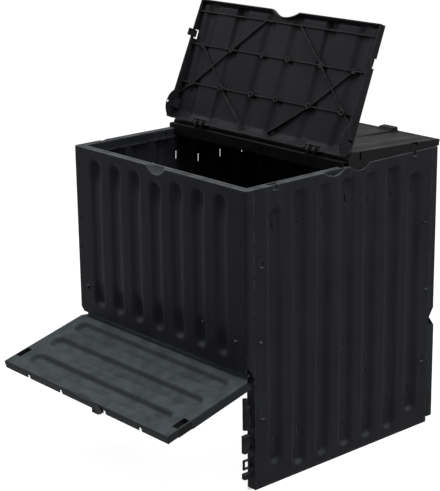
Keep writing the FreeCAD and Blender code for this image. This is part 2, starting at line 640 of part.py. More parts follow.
def hinge_bar():
    """Channel across the middle of the rim, with ears for the hinge pins."""
    half = "(width/2 - lug_depth - side_play)"
    inner = "(width/2 - rim_reach - side_play)"
    solids = [block("-" + half, half, "-bar_half", "bar_half", "bar_top - wall", "bar_top")]
    cheek = [("-" + half, "rim_height"), ("-" + inner, "rim_height"),
             ("-" + inner, "bar_foot"), (inner, "bar_foot"), (inner, "rim_height"),
             (half, "rim_height"), (half, "bar_top"), ("-" + half, "bar_top")]
    for start in ("-bar_half", "bar_half - wall"):
        solids.append(prism("XZ", start, "wall", cheek))
    solids += both_blocks("X", inner + " - wall", inner, "-bar_half", "bar_half", "bar_foot",
                          "bar_top")
    ear = [("-ear_half", "bar_top - wall/2"), ("ear_half", "bar_top - wall/2"),
           ("ear_half - wall/2", "hinge_height"), ("hinge_spread*2", "ear_top"),
           ("-hinge_spread*2", "ear_top"), ("wall/2 - ear_half", "hinge_height")]
    bores = []
    for centre in ("-hinge_place", "hinge_place"):
        for step in ("-1.5*knuckle_pitch", "1.5*knuckle_pitch"):
            start = "%s + %s - %s/2" % (centre, step, KNUCKLE)
            solids.append(prism("YZ", start, KNUCKLE, ear))
            for side in ("-hinge_spread", "hinge_spread"):
                bores.append(rod("X", start + " - knuckle_gap/2", side, "hinge_height",
                                 "knuckle_pitch", "hinge_pin_radius"))
    return carve(solids, bores)


def hinge_pin():
    """Headed pin through the ears and one lid's knuckles."""
    half = "3*knuckle_pitch"
    return join([rod("X", "-" + half, "0", "0", "2*" + half, "hinge_pin_radius"),
                 rod("X", "-%s - hinge_head_thick" % half, "0", "0", "hinge_head_thick",
                     "hinge_head_radius"),
                 rod("X", half, "0", "0", "hinge_head_thick", "hinge_head_radius")])


# Each moulding is drawn once and placed as often as the bin has it
UPRIGHT = (0, 0, 1)
LIFTED = (-1, 0, 0)
side_form = side_panel()
end_form = end_panel()
flap_form = flap()
stud_form = flap_stud()
pin_form = flap_pin()
lid_form = lid()
hinge_pin_form = hinge_pin()
pieces = [
    part("right_panel", side_form, "0", "0", "0", UPRIGHT, "0"),
    part("left_panel", side_form, "0", "0", "0", UPRIGHT, "180"),
    part("front_panel", end_form, "0", "0", "0", UPRIGHT, "0"),
    part("rear_panel", end_form, "0", "0", "0", UPRIGHT, "180"),
    part("hinge_bar", hinge_bar(), "0", "0", "0", UPRIGHT, "0"),
    part("front_lid", lid_form, "0", "-hinge_spread", "hinge_height", LIFTED, "lid_open"),
    part("rear_lid", lid_form, "0", "hinge_spread", "hinge_height", UPRIGHT, "180"),
]
for end, y, direction, angle in (("front", "-" + PIVOT_Y, LIFTED, "flap_open"),
                                 ("rear", PIVOT_Y, UPRIGHT, "180")):
    pieces.append(part(end + "_flap", flap_form, "0", y, "pivot_height", direction, angle))
    pieces.append(part(end + "_flap_stud", stud_form, "0", y, "pivot_height", direction,
                       angle))
    spread = "-hinge_spread" if end == "front" else "hinge_spread"
    for side, turn, middle in (("right", "0", "hinge_place"), ("left", "180", "-hinge_place")):
        pieces.append(part("%s_flap_pin_%s" % (end, side), pin_form, "0", y, "pivot_height",
                           UPRIGHT, turn))
        pieces.append(part("%s_lid_pin_%s" % (end, side), hinge_pin_form, middle, spread,
                           "hinge_height", UPRIGHT, "0"))

doc.recompute()

# Nothing is written unless every object is sound
faults = ["%s: %s" % (item.Name, item.getStatusString()) for item in doc.Objects
          if "Invalid" in item.State or "Error" in item.State]
faults += ["%s: %d solids" % (piece.Label, len(piece.Shape.Solids)) for piece in pieces
           if piece.Shape.isNull() or not piece.Shape.isValid() or len(piece.Shape.Solids) != 1]
if faults:
    raise RuntimeError("; ".join(faults))

os.makedirs("parts", exist_ok=True)
for piece in pieces:
    piece.Shape.exportStep("parts/%s.step" % piece.Label)
    print(piece.Label, "volume in cm3:", round(piece.Shape.Volume / 1000, 1))
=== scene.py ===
import math

import bmesh
import bpy
import numpy as np
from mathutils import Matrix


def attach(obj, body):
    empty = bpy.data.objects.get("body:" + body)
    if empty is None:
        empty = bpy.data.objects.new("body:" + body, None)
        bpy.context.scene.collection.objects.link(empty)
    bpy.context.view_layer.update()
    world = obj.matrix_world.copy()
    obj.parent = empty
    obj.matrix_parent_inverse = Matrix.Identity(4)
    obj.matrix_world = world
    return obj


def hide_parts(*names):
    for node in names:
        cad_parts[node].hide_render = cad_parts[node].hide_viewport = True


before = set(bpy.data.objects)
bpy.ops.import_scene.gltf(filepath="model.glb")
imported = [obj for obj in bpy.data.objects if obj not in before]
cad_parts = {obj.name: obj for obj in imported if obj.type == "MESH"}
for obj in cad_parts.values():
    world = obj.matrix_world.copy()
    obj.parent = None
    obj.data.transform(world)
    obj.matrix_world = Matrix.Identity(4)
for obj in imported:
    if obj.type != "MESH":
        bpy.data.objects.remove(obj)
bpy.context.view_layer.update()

# Side panels
# Two identical side walls, one turned half round, moulded about 3 mm thick in near-black
# recycled polypropylene. Seven scooped flutes stiffen each, with air slits on their floors;
# a grooved rim is folded over at the top, and both upright edges carry a flange.
HALF = 350.0
WALL = 3.0
SIDE_END = 325.0
PITCH = 85.0
FLUTE_WIDE, FLUTE_DEEP = 54.0, 12.0
SIDE_TOPS = {0: 774, 1: 774, 2: 774, 3: 742}
SIDE_FEET = {0: 19, 1: 19, 2: 19, 3: 47}
LUG_Y, LUG_Z, LUG_HOLE_Z, LUG_HOLE_R = 46.0, 829.0, 783.0, 3.5
POCKET_R, POCKET_DEEP, POCKET_EDGE = 50.3, 4.0, 1.6
SNAP_Y, CLIP_Y, CLIP_ZS = 253.0, 300.0, (600.0, 198.0)
BUMP_Z = 396.0

# Rim section: distance along it, inset from the outer face and height of the outer surface,
# then the same for the surface behind it.
RIM_OUTER = np.array([
    (0, 0, 0), (790.6, 0, 790.6), (791.8, .3, 791.9), (793, 1.1, 793.1), (794.3, 2.3, 793.8),
    (795.6, 3.6, 794), (802, 10, 794), (803, 10.9, 793.6), (804, 11.5, 792.8),
    (805.4, 12.1, 791.5), (807, 13, 791), (808.6, 13.9, 791.5), (810, 14.5, 792.8),
    (811, 15.1, 793.6), (812, 16, 794), (818.8, 22.4, 794), (820, 23.6, 793.7),
    (821, 24.5, 792.9), (822.2, 25, 791.8), (847, 25, 767)])
RIM_INNER = np.array([
    (0, 3, 0), (786, 3, 786), (790.6, 3.2, 789.4), (795.6, 4.6, 791), (802, 9, 791),
    (804, 10, 789.6), (807, 13, 788), (810, 16, 789.6), (812, 17, 791), (818.8, 20.8, 791),
    (822.2, 22, 789.6), (847, 22, 767)])


def grid_line(low, high, step, marks=(), zones=()):
    """Rising values: an even step, a finer step in each zone, and the marks exactly."""
    spread = [np.linspace(low, high, int(round((high - low) / step)) + 1)]
    spread += [np.arange(a, b, fine) for a, b, fine in zones]
    rough = np.unique(np.concatenate(spread))
    marks = np.array(sorted({low, high, *marks}))
    clear = np.abs(rough[:, None] - marks[None]).min(1) > 0.55
    return np.unique(np.concatenate([rough[clear], marks]))


def ease(x):
    """Smooth step from 0 to 1 as x goes from 0 to 1: 3x² − 2x³."""
    x = np.clip(x, 0, 1)
    return x * x * (3 - 2 * x)


def moulding(outer, inner, us, vs, cut=None, rounds=()):
    """Closed thin wall. outer(u, v) and inner(u, v) give its two faces on one grid.

    Cells where cut(u, v) is true are left out and every open edge is closed by a strip
    between the two faces. Grid points beside a round hole are moved onto its circle.
    """
    u, v = np.meshgrid(us, vs, indexing="ij")
    for cu, cv, r in rounds:
        away = np.hypot(u - cu, v - cv)
        near = (np.abs(away - r) < 0.62) & (away > 0)
        pull = np.where(near, r / np.maximum(away, 1e-6), 1)
        u, v = cu + (u - cu) * pull, cv + (v - cv) * pull
    points = np.concatenate([np.stack(np.broadcast_arrays(*face(u, v)), -1).reshape(-1, 3)
                             for face in (outer, inner)])
    mid_u = (u[:-1, :-1] + u[1:, 1:]) / 2
    mid_v = (v[:-1, :-1] + v[1:, 1:]) / 2
    solid = np.ones(mid_u.shape, bool) if cut is None else ~cut(mid_u, mid_v)
    for cu, cv, r in rounds:
        solid &= np.hypot(mid_u - cu, mid_v - cv) > r * 0.93
    index = np.arange(u.size).reshape(u.shape)
    a, b, c, d = index[:-1, :-1], index[1:, :-1], index[1:, 1:], index[:-1, 1:]
    back = u.size
    faces = [np.stack([a, b, c, d], -1)[solid], np.stack([d, c, b, a], -1)[solid] + back]
    ring = np.pad(solid, 1)
    for p, q, beside in ((a, d, ring[:-2, 1:-1]), (c, b, ring[2:, 1:-1]),
                         (b, a, ring[1:-1, :-2]), (d, c, ring[1:-1, 2:])):
        faces.append(np.stack([p, q, q + back, p + back], -1)[solid & ~beside])
    return points, np.concatenate(faces)


# The six sides of a block whose corners are counted by z first, then y, then x
BLOCK_SIDES = np.array([(0, 1, 3, 2), (4, 6, 7, 5), (0, 4, 5, 1), (2, 3, 7, 6), (0, 2, 6, 4),
                        (1, 5, 7, 3)])


def bars(*limits):
    """Plain blocks, each between two values on X, Y and Z."""
    corner = np.array([(x, y, z) for x in (0, 1) for y in (0, 1) for z in (0, 1)])
    points, faces = [], []
    for n, (x0, x1, y0, y1, z0, z1) in enumerate(limits):
        low, high = np.array([x0, y0, z0], float), np.array([x1, y1, z1], float)
        points.append(low + corner * (high - low))
        faces.append(BLOCK_SIDES + 8 * n)
    return np.concatenate(points), np.concatenate(faces)


def lathe(section, centre, axis="Z", count=28):
    """Closed section of (radius, height) points turned about an axis through the centre."""
    section = np.array(section, float)
    angle = np.linspace(0, 2 * np.pi, count, endpoint=False)
    r, h = section[:, 0], section[:, 1]
    across, up = np.outer(np.cos(angle), r), np.outer(np.sin(angle), r)
    along = np.broadcast_to(h, across.shape)
    order = {"Z": (across, up, along), "X": (along, across, up)}
    points = np.stack(order[axis], -1).reshape(-1, 3) + np.array(centre, float)
    n = len(section)
    i, j = np.meshgrid(np.arange(count), np.arange(n), indexing="ij")
    k, m = (i + 1) % count, (j + 1) % n
    return points, np.stack([i * n + j, k * n + j, k * n + m, i * n + m], -1).reshape(-1, 4)


def half_turn(shape):
    """Turn a shape half round the bin's upright middle line: x and y change sign."""
    points, faces = shape
    return points * (-1, -1, 1), faces


def mirrored(shape, axis):
    """Mirror image across the middle plane of an axis, with its faces turned back out."""
    points, faces = shape
    sign = np.ones(3)
    sign["XYZ".index(axis)] = -1
    return points * sign, faces[:, ::-1]


def make(name, shapes, body, material, replaces=(), rounding=0.0):
    """Put shapes together as one piece that rides on a body of the frame."""
    points, faces, start = [], [], 0
    for p, f in shapes:
        points.append(p)
        faces.append(f + start)
        start += len(p)
    mesh = bpy.data.meshes.new(name)
    mesh.from_pydata((np.concatenate(points) * 0.001).tolist(), [],
                     np.concatenate(faces).tolist())
    work = bmesh.new()
    work.from_mesh(mesh)
    bmesh.ops.remove_doubles(work, verts=work.verts, dist=2e-5)
    bmesh.ops.dissolve_degenerate(work, edges=work.edges, dist=1e-5)
    loose = [v for v in work.verts if not v.link_faces]
    bmesh.ops.delete(work, geom=loose, context="VERTS")
    work.to_mesh(mesh)
    work.free()
    mesh.shade_smooth()
    mesh.set_sharp_from_angle(angle=math.radians(38))
    mesh.materials.append(material)
    item = bpy.data.objects.new(name, mesh)
    bpy.context.scene.collection.objects.link(item)
    if rounding:
        bevel = item.modifiers.new("rounding", "BEVEL")
        bevel.width = rounding * 0.001
        bevel.segments = 2
        bevel.limit_method = "ANGLE"
        bevel.angle_limit = math.radians(45)
        bevel.harden_normals = False
    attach(item, body)
    if replaces:
        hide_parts(*replaces)


def scooped(across, along, foot, top, flat=6.0, shallow=0.3):
    """Depth of one scooped flute.

    With r the distance from the flute's middle line, full depth up to the flat's edge, then
    one smooth step up to the face. Between its ends the flute is shallower by a share.
    """
    low, high = foot + FLUTE_WIDE / 2, top - FLUTE_WIDE / 2
    over = np.maximum(np.maximum(low - along, along - high), 0)
    r = np.hypot(across, over)
    depth = FLUTE_DEEP * (1 - shallow * ease((along - low) / 70) * ease((high - along) / 70))
    return depth * (1 - ease((r - flat) / (FLUTE_WIDE / 2 - flat)))


def side_flutes(y, z):
    """Seven flutes side by side, the outermost two shorter."""
    return sum(scooped(y - k * PITCH, z, SIDE_FEET[abs(k)], SIDE_TOPS[abs(k)])
               for k in range(-3, 4))


def lug_pocket(y, z):
    """1 inside the round pockets that take the lids' lugs, 0 outside, eased over the edge."""
    return sum(ease((POCKET_R - np.hypot(y - side, z - LUG_Z)) / POCKET_EDGE + 0.5)
               for side in (-LUG_Y, LUG_Y))


def rim_section(v, table):
    """Inset and height at a distance along the rim's section."""
    return np.interp(v, table[:, 0], table[:, 1]), np.interp(v, table[:, 0], table[:, 2])


def side_outer(y, v):
    """Outer face of a side wall; v runs up the wall and on over the rim."""
    inset, z = rim_section(v, RIM_OUTER)
    inset = np.maximum(inset, POCKET_DEEP * lug_pocket(y, z))
    return HALF - inset - np.where(v < 790, side_flutes(y, z), 0), y, z


def side_inner(y, v):
    """The face behind it, a wall further in."""
    inset, z = rim_section(v, RIM_INNER)
    inset = np.maximum(inset, (POCKET_DEEP + WALL) * lug_pocket(y, z) * (v < 816))
    return HALF - inset - np.where(v < 786, side_flutes(y, z), 0), y, z


# Air slits: flute number and height of each slit's middle. Every cut below is a window:
# middle and half width across the wall, then middle and half height up it.
SLIT_HALF, SLIT_HALF_TALL = 2.0, 12.0
SLITS = [(k, z) for k in (-3, -2, -1, 1, 2, 3) for z in (689, 115)]
SLITS += [(0, 711), (0, 315), (0, 92), (-1, 215), (1, 215)]
side_cuts = [(k * PITCH, SLIT_HALF, z, SLIT_HALF_TALL) for k, z in SLITS]
for end in (-1, 1):
    side_cuts += [(end * CLIP_Y, 6, z, 7) for z in CLIP_ZS]
    side_cuts += [(end * SNAP_Y, 8, 789.2, 7.7), (end * SNAP_Y, 15, 805.9, 9)]


def windows(cuts):
    """Test for moulding(): true inside any of the cuts."""
    def inside_any(u, v):
        hole = np.zeros(u.shape, bool)
        for cu, wide, cv, tall in cuts:
            hole |= (np.abs(u - cu) < wide) & (np.abs(v - cv) < tall)
        return hole
    return inside_any


def edges_of(cuts):
    """The cuts' edges across the wall, and up it."""
    return ({m for c, w, _, _ in cuts for m in (c - w, c + w)},
            {m for _, _, c, t in cuts for m in (c - t, c + t)})


y_marks, v_marks = edges_of(side_cuts)
lip_hole = 822.2 + (791.8 - LUG_HOLE_Z)
side_wall = moulding(
    side_outer, side_inner,
    grid_line(-SIDE_END, SIDE_END, 3.6, y_marks,
              [(e * LUG_Y - 6, e * LUG_Y + 6, 1.15) for e in (-1, 1)]),
    grid_line(0, 847, 9, v_marks | set(RIM_OUTER[1:-1, 0]),
              [(14, 76, 3), (715, 790, 3), (776, 792, 1.15), (825, 837, 1.15)]),
    windows(side_cuts),
    [(e * LUG_Y, z, LUG_HOLE_R) for e in (-1, 1) for z in (LUG_HOLE_Z, lip_hole)])

# Flanges along the upright edges, cleared where a flap's top turns, and the ears of the flaps
PIVOT_Y, PIVOT_Z, EAR_R, EAR_X = 338.0, 294.0, 8.0, 320.0
flanges = bars((EAR_X, 348, SIDE_END - WALL, SIDE_END, 0, 302),
               (EAR_X + 10, 348, SIDE_END - WALL, SIDE_END, 301, 319),
               (EAR_X, 348, SIDE_END - WALL, SIDE_END, 318, 788.5),
               (EAR_X, EAR_X + 11, SIDE_END - WALL, SIDE_END, 311, 318.5),
               (EAR_X, EAR_X + 5, SIDE_END - 1, PIVOT_Y, PIVOT_Z - EAR_R, PIVOT_Z + EAR_R))
ear_disc = lathe([(EAR_R, 0), (EAR_R, 5), (3.05, 5), (3.05, 0)], (EAR_X, PIVOT_Y, PIVOT_Z), "X")

# Hooks through the front and rear walls' slots, then block, peg, web, ring and barrel below
HOOK_ZS = [361 + 75.4 * k for k in range(6)]
hooks = bars(*[(327.5, 331.5, SIDE_END - 1, 349, z - 8, z + 8) for z in HOOK_ZS],
             *[(326.5, 332.5, 344, 348.4, z - 8, z - 4) for z in HOOK_ZS])
sockets = bars((321, 333, SIDE_END - 1, 346, 100, 148), (321, 333, SIDE_END - 1, 346, 28, 43),
               (320, 334, SIDE_END - 1, 338, 164, 226),
               (327, 332, SIDE_END - 1, 349, 56, 61), (327, 332, SIDE_END - 1, 349, 78, 83),
               (327, 332, SIDE_END - 1, 330, 60, 79), (327, 332, 344, 349, 60, 79),
               *[(319.5, 334.5, SIDE_END - 1, reach, z, z + 3)
                 for reach, z in ((340, 144), (342, 101), (336, 184), (336, 164))])
barrel = lathe([(7, 164), (7, 248), (4.5, 248), (4.5, 226), (0.01, 226), (0.01, 164)],
               (327, PIVOT_Y, 0))

# Catches below the clip and snap windows, and the plates that stand behind the windows
lips = bars(*[(348.6, 353.6, e * CLIP_Y - 7, e * CLIP_Y + 7, z - 11.5, z - 7.4)
              for e in (-1, 1) for z in CLIP_ZS],
            *[(348.6, 352.2, e * SNAP_Y - 8, e * SNAP_Y + 8, 777.5, 781.2) for e in (-1, 1)],
            *[(345.5, 348.2, e * CLIP_Y - 6.2, e * CLIP_Y + 6.2, z - 7.2, z + 7.2)
              for e in (-1, 1) for z in CLIP_ZS],
            *[(341, 344, e * SNAP_Y - 18, e * SNAP_Y + 18, 770, 793) for e in (-1, 1)])


def bump(y, z):
    """Low three-sided bump on the side wall: a pyramid 18 mm tall that stands 5 mm proud."""
    root, tip = HALF - 0.6, HALF + 5.4
    points = np.array([(root, y - 8, z + 5), (root, y + 8, z + 5), (root, y, z - 13),
                       (tip, y, z - 1)], float)
    return points, np.array([(1, 0, 3, 3), (2, 1, 3, 3), (0, 2, 3, 3), (0, 1, 2, 2)])


def node(tree, kind, links=(), **settings):
    """New shader node: its settings, then its inputs by name or number, as values or links."""
    item = tree.nodes.new("ShaderNode" + kind)
    for name, value in settings.items():
        setattr(item, name, value)
    for place, value in dict(links).items():
        if isinstance(value, bpy.types.NodeSocket):
            tree.links.new(value, item.inputs[place])
        else:
            item.inputs[place].default_value = value
    return item


def group(name, inputs, outputs):
    """Empty shader node group with named sockets; returns its tree, its input and output."""
    tree = bpy.data.node_groups.new(name, "ShaderNodeTree")
    for label, (form, value) in inputs.items():
        socket = tree.interface.new_socket(label, in_out="INPUT",
                                           socket_type="NodeSocket" + form)
        socket.default_value = value
    for label in outputs:
        tree.interface.new_socket(label, in_out="OUTPUT", socket_type="NodeSocketFloat")
    return tree, tree.nodes.new("NodeGroupInput"), tree.nodes.new("NodeGroupOutput")


def ramp(tree, value, low, high, bottom=0.0, top=1.0):
    """Value mapped from low..high to bottom..top and held there beyond."""
    return node(tree, "MapRange", {0: value, 1: low, 2: high, 3: bottom, 4: top}).outputs[0]


def product(tree, first, second):
    """First value times second value."""
    return node(tree, "Math", {0: first, 1: second}, operation="MULTIPLY").outputs[0]


def noise(tree, scale, detail=2.0, vector=None):
    """Noise on Object coordinates, with the scale in waves per metre."""
    if vector is None:
        vector = node(tree, "TexCoord").outputs["Object"]
    return node(tree, "TexNoise", {"Vector": vector, "Scale": scale,
                                   "Detail": detail}).outputs["Fac"]


# Fine spark-eroded grain of the mould, and slow changes of gloss across the sheet
grain, inside, outside = group("moulded grain", {"Grain": ("Float", 900.0)},
                               ("Height", "Patch"))
fine = noise(grain, inside.outputs["Grain"], 3.0)
grain.links.new(fine, outside.inputs["Height"])
grain.links.new(ramp(grain, noise(grain, 9.0, 4.0), 0.35, 0.65), outside.inputs["Patch"])

# Weather: dust on faces that look along Up, rain streaks on the others, rubbed edges
weather, inside, outside = group("weather", {"Up": ("Vector", (0.0, 0.0, 1.0))},
                                 ("Dust", "Streak", "Edge"))
coordinate = node(weather, "TexCoord")
facing = node(weather, "VectorMath", {0: coordinate.outputs["Normal"],
                                      1: inside.outputs["Up"]},
              operation="DOT_PRODUCT").outputs["Value"]
mottle = ramp(weather, noise(weather, 26.0, 5.0), 0.3, 0.62, 0.35, 1.0)
weather.links.new(product(weather, ramp(weather, facing, 0.35, 0.95), mottle),
                  outside.inputs["Dust"])
stretched = node(weather, "Mapping", {"Vector": coordinate.outputs["Object"],
                                      "Scale": (55.0, 55.0, 2.2)}).outputs["Vector"]
runs = ramp(weather, noise(weather, 1.0, 3.0, stretched), 0.5, 0.72)
level = node(weather, "Math", {0: facing}, operation="ABSOLUTE").outputs[0]
weather.links.new(product(weather, runs, ramp(weather, level, 0.3, 0.7, 1.0, 0.0)),
                  outside.inputs["Streak"])
sharp_edge = ramp(weather, node(weather, "NewGeometry").outputs["Pointiness"], 0.515, 0.58)
weather.links.new(product(weather, sharp_edge, ramp(weather, noise(weather, 60.0), 0.4, 0.6)),
                  outside.inputs["Edge"])


def plastic(name, black, patch, dust, rough, shine, dusty, up=(0.0, 0.0, 1.0),
            grain_size=900.0):
    """Weathered recycled plastic: patches of a second black, streaks, edges and dust.

    Rough is the roughness at mid gloss, shine the specular level, and dusty the share of
    dust on faces that look along up.
    """
    material = bpy.data.materials.new(name)
    material.use_nodes = True
    tree = material.node_tree
    shader = tree.nodes["Principled BSDF"]
    skin = node(tree, "Group", node_tree=grain)
    skin.inputs["Grain"].default_value = grain_size
    worn = node(tree, "Group", node_tree=weather)
    worn.inputs["Up"].default_value = up

    def blend(amount, under, over):
        mix = node(tree, "Mix", {0: amount}, data_type="RGBA")
        for place, value in ((6, under), (7, over)):
            if isinstance(value, bpy.types.NodeSocket):
                tree.links.new(value, mix.inputs[place])
            else:
                mix.inputs[place].default_value = (*value, 1.0)
        return mix.outputs[2]

    pale = tuple(0.55 * a + 0.45 * b for a, b in zip(patch, dust))
    colour = blend(skin.outputs["Patch"], black, patch)
    colour = blend(product(tree, worn.outputs["Streak"], 0.12), colour, pale)
    colour = blend(product(tree, worn.outputs["Edge"], 0.5), colour, pale)
    colour = blend(product(tree, worn.outputs["Dust"], dusty), colour, dust)
    tree.links.new(colour, shader.inputs["Base Color"])
    gloss = ramp(tree, skin.outputs["Patch"], 0.0, 1.0, rough - 0.04, rough + 0.05)
    gloss = node(tree, "Math", {0: product(tree, worn.outputs["Dust"], 0.18 * dusty),
                                1: gloss}, operation="ADD").outputs[0]
    tree.links.new(gloss, shader.inputs["Roughness"])
    bump_map = node(tree, "Bump", {"Strength": 0.3, "Distance": 0.0003,
                                   "Height": skin.outputs["Height"]})
    tree.links.new(bump_map.outputs["Normal"], shader.inputs["Normal"])
    shader.inputs["Specular IOR Level"].default_value = shine
    return material


def paint_solids(names, material):
    """Give a material to solids that are shown as they come from the frame."""
    for name in names:
        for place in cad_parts[name].material_slots:
            place.material = material


def as_drawn(shape):
    """The shape itself, for the side that isn't turned."""
    return shape


panel_black = plastic("panel black", (.0118, .0123, .0153), (.0164, .0171, .0207),
                      (.092, .098, .102), 0.46, 0.04, 0.9)

small_parts = []
for end in ("near", "far"):
    for shape in (flanges, hooks, sockets, ear_disc, barrel):
        small_parts.append(shape if end == "far" else mirrored(shape, "Y"))
bumps = [bump(y, BUMP_Z) for y in (-305, 310)]
for side in ("right", "left"):
    place = as_drawn if side == "right" else half_turn
    make(side + "_side_wall", [place(side_wall)], "bin", panel_black,
         (side + "_panel",))
    make(side + "_side_fittings", [place(shape) for shape in small_parts + [lips] + bumps],
         "bin", panel_black, rounding=0.5)

# Front and rear walls
# Two identical upper walls, each one U-shaped moulding that wraps round both corners and
# leaves the lower third open for a flap. They are plugged onto the side walls: hooks pass
# through slots near both ends. A thumb scoop cuts the rim in the middle.
CORNER_R = 8.0
FLAT = HALF - CORNER_R
TURN = FLAT + CORNER_R * math.pi / 2
WALL_END = TURN + FLAT - SIDE_END
HATCH_TOP, CORNER_FOOT, RETURN_FOOT = 319.5, 338.0, 306.0
CORNER_RISE, FLUTES_END = 332.0, 300.0
WALL_FLUTE_FOOT, WALL_FLUTE_TOP, SCOOPED_FLUTE_TOP = 345.0, 774.0, 759.0
SLOT_X, SLOT_HALF, SLOT_HALF_TALL = 329.5, 2.6, 9.0
SCOOP = ((0.0, -381.97, 821.2), 58.7)


def wall_line(u, inset):
    """Plan of the wall at distance u from its middle, moved inwards by the inset.

    Straight along the face, a quarter circle round each corner, then straight back; an
    inset beyond the corner's radius runs into a mitre.
    """
    s = np.abs(u)
    angle = np.clip((s - FLAT) / CORNER_R, 0, math.pi / 2)
    r = np.maximum(CORNER_R - inset, 0)
    x = np.minimum(np.minimum(s, FLAT) + r * np.sin(angle), HALF - inset)
    y = np.maximum(-FLAT - r * np.cos(angle) + np.maximum(s - TURN, 0), inset - HALF)
    return np.sign(u) * x, y


def wall_foot(u):
    """Lower edge: level over the hatch, rising to the corner and falling along its return."""
    return np.interp(np.abs(u), (0, CORNER_RISE, TURN - 3, WALL_END),
                     (HATCH_TOP, HATCH_TOP, CORNER_FOOT, RETURN_FOOT))


def clear_ball(points, ball, more, soft=2.0):
    """Push points out of a ball, straight away from its centre, with a soft edge.

    The ball is its centre and radius, and more is added to the radius. The new distance is
    the soft maximum of the old one and that sum.
    """
    centre, radius = ball
    away = [p - c for p, c in zip(points, centre)]
    old = np.sqrt(sum(a * a for a in away))
    gap = old - radius - more
    new = np.where(gap < 9, radius + more + (gap + np.sqrt(gap ** 2 + soft ** 2)) / 2, old)
    return [c + a * new / old for c, a in zip(centre, away)]


def front_flutes(x, z):
    """Seven flutes, the middle one shorter because of the thumb scoop above it."""
    return sum(scooped(x - k * PITCH, z, WALL_FLUTE_FOOT,
                       WALL_FLUTE_TOP if k else SCOOPED_FLUTE_TOP, flat=5.0, shallow=0.72)
               for k in range(-3, 4))


def wall_face(u, v, table, more):
    """Face of the U-shaped wall from a rim table, with the scoop larger by more."""
    inset, z = rim_section(v, table)
    z = np.maximum(z, wall_foot(u))
    x, y = wall_line(u, inset)
    y = y + np.where((v < 788) & (np.abs(u) < FLUTES_END), front_flutes(x, z), 0)
    return clear_ball((x, y, z), SCOOP, more)


end_cuts = [(end * SLOT_X, SLOT_HALF, z, SLOT_HALF_TALL) for end in (-1, 1) for z in HOOK_ZS]
u_marks, v_marks = edges_of(end_cuts)
arc_steps = [FLAT + (TURN - FLAT) * k / 6 for k in range(7)]
end_wall = moulding(
    lambda u, v: wall_face(u, v, RIM_OUTER, 0.0),
    lambda u, v: wall_face(u, v, RIM_INNER, WALL),
    grid_line(-WALL_END, WALL_END, 3.7,
              u_marks | {e * m for e in (-1, 1) for m in arc_steps + [SIDE_END, CORNER_RISE]}),
    grid_line(RETURN_FOOT, 847, 9, v_marks | {HATCH_TOP} | set(RIM_OUTER[1:-1, 0]),
              [(322, 402, 3), (700, 790, 3)]),
    windows(end_cuts))
hem = bars((-320, 320, -347.5, -337, HATCH_TOP, HATCH_TOP + WALL),
           (177, 184, -350.6, -347, 416, 422))
front_bumps = [(p[:, [1, 0, 2]] * (-1, -1, 1) + (0, 0, 4), f)
               for p, f in (bump(306, BUMP_Z), bump(-309, BUMP_Z))]
for side in ("front", "rear"):
    place = as_drawn if side == "front" else half_turn
    make(side + "_wall", [place(end_wall)], "bin", panel_black,
         (side + "_panel",))
    make(side + "_wall_hem", [place(shape) for shape in [hem] + front_bumps],
         "bin", panel_black, rounding=0.5)

# Hinge bar
# Channel moulding that spans the middle of the rim and carries four pairs of ears for the
# lids' hinge pins. It rests in the side walls' round pockets.
# Painted shade: the bar's black is far darker than the walls' black, standing in for the shadow
# the open lid casts over it. Its dust is dust.
bar_shaded_black = plastic("bar shaded black", (.0022, .0022, .0028), (.0036, .0036, .0042),
                    (.012, .012, .011), 0.5, 0.03, 0.4)
paint_solids(["hinge_bar"], bar_shaded_black)

# Hinge and flap pins
# Headed pins pushed through ears and knuckles: four for the lids, four for the flaps.
# They are turned from harder black plastic with a smoother skin.
HARD_BLACK = ((.0045, .0045, .0052), (.007, .007, .0078), (.020, .019, .018), 0.4, 0.06, 0.4)
FINE_GRAIN = 1500.0
pin_black = plastic("pin black", *HARD_BLACK, grain_size=FINE_GRAIN)
paint_solids([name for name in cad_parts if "_pin_" in name], pin_black)

# Lids
# Two identical half roofs hinged back to back on the bar. Each is one moulding: a sloping
# top with a ridge near the hinge, skirts on three sides, two wedges and a half-round grip
# at the free edge, and a grid of ribs with tube bosses underneath.
FREE_Y, RIDGE_Y, EDGE_Y = -349.0, -24.7, -0.6
EAVE_Z, RIDGE_Z, EDGE_Z, SKIRT_Z = -5.6, 11.0, -6.2, -23.5
HINGE_Z, HINGE_SPREAD, LID_OPEN = 818.0, 4.0, 114.0
FOLD_R, FOLD_R_INSIDE = 3.0, 0.6
SKIRT_RUN = 18.0
DRAFT = 2.4
BOSS_XS, BOSS_YS = (50.0, 175.0, 296.0), (-110.0, -221.0)
PAD_XS = (-325.0, -235.0, -112.5, 0.0, 112.5, 235.0, 325.0)
PAD_HALVES = (14, 44, 47, 35, 47, 44, 14)
WEDGE_X, WEDGE_HALF, WEDGE_EDGE = 175.0, 25.0, 1.6
WEDGE_END, WEDGE_STEP = 346.4, 1.2
GRIP_Y, GRIP_R = -424.03, 93.03
HINGE_X, HINGE_CLEAR, HINGE_CUT_Y = 225.0, 27.5, -14.0
LID_SLOT, LID_SLOT_Y = (347.6, 361.6), (-47.0, -40.0)
LID_NOTCH, LID_NOTCH_Y = (341.5, 357.0), (-262.0, -236.0)
LUG_REACH, LUG_MIDDLE = 50.0, HINGE_SPREAD - LUG_Y


def fold(s, radius):
    """Bend a straight run down by a right angle: how far out and how far down it gets.

    Flat before the bend, a quarter circle of the radius, then straight down.
    """
    angle = np.clip(s / radius, 0, math.pi / 2)
    out = np.where(s < 0, s, radius * np.sin(angle))
    down = radius * (1 - np.cos(angle)) + np.maximum(s - radius * math.pi / 2, 0)
    return out, down


